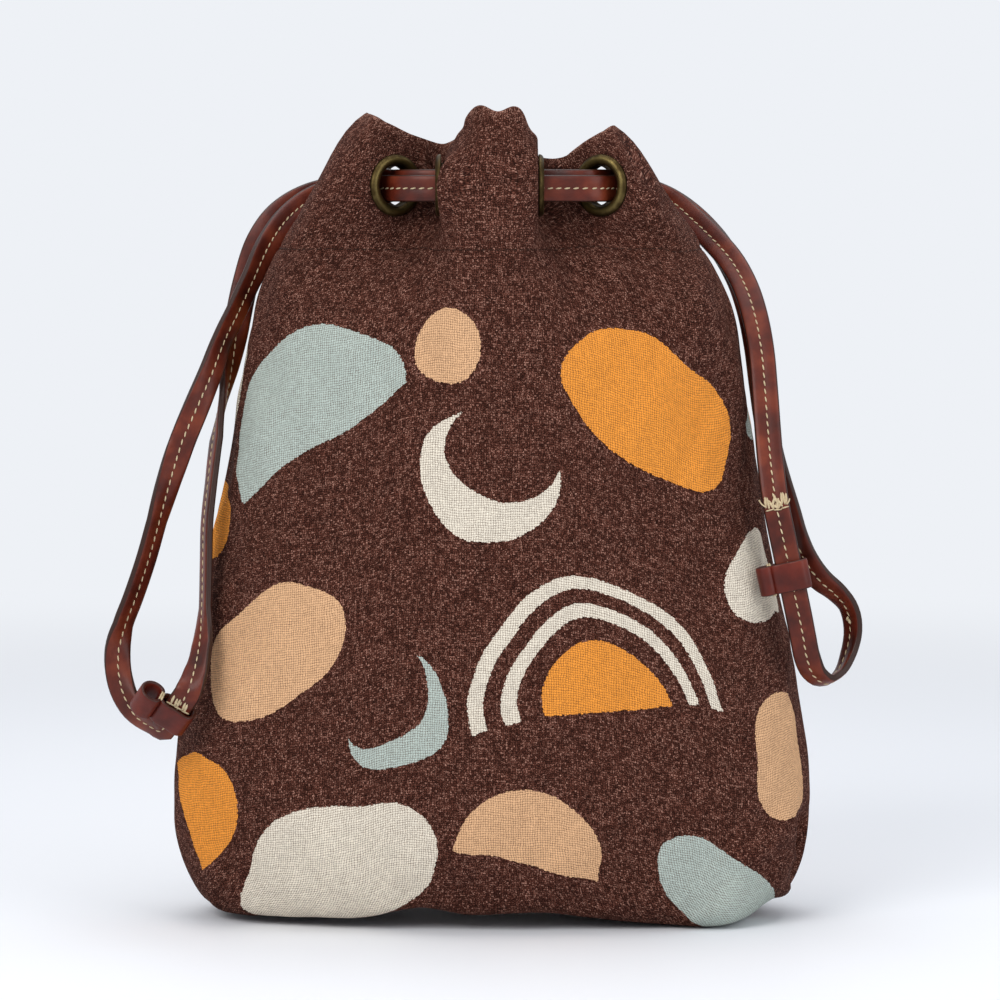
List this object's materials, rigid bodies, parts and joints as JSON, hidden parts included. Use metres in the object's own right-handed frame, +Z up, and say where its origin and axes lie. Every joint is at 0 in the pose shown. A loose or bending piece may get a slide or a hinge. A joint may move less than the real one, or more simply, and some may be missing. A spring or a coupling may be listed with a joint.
{
  "type": "drawstring shoulder bag",
  "caption": "Small canvas bucket bag, gathered at the mouth by flat leather drawstring straps through brass eyelets, with a hanging strap loop on each side.",
  "frame": {"origin": "on the floor under the middle of the bag", "axes": "+Z up, -Y the front of the bag, +X to the right as seen from the front"},
  "size_m": [0.2726, 0.1072, 0.2919],
  "materials": {
    "printed_canvas": "coarse plain-weave canvas, printed",
    "antique_brass": "antique, dark patina",
    "strap_leather": "oiled red-brown leather, stitched",
    "keeper_leather": "oiled red-brown leather"
  },
  "bodies": {
    "root": {"bag_front_panel": "printed_canvas", "bag_back_panel": "printed_canvas", "eyelet_0": "antique_brass", "eyelet_1": "antique_brass", "eyelet_2": "antique_brass", "eyelet_3": "antique_brass", "eyelet_4": "antique_brass", "eyelet_5": "antique_brass", "eyelet_6": "antique_brass", "eyelet_7": "antique_brass", "eyelet_washer_0": "antique_brass", "eyelet_washer_1": "antique_brass", "eyelet_washer_2": "antique_brass", "eyelet_washer_3": "antique_brass", "eyelet_washer_4": "antique_brass", "eyelet_washer_5": "antique_brass", "eyelet_washer_6": "antique_brass", "eyelet_washer_7": "antique_brass", "strap_left": "strap_leather", "strap_right": "strap_leather"},
    "keeper_left": {"keeper_left": "keeper_leather"},
    "keeper_right": {"keeper_right": "keeper_leather"}
  },
  "joints": [
    {"name": "keeper_left_slide", "type": "slide", "parent": "root", "child": "keeper_left", "axis": [0.4505, -0.6005, 0.6606], "range_m": [-0.0015, 0.0015]},
    {"name": "keeper_right_slide", "type": "slide", "parent": "root", "child": "keeper_right", "axis": [-0.2055, 0, 0.9787], "range_m": [-0.004, 0.012]}
  ]
}
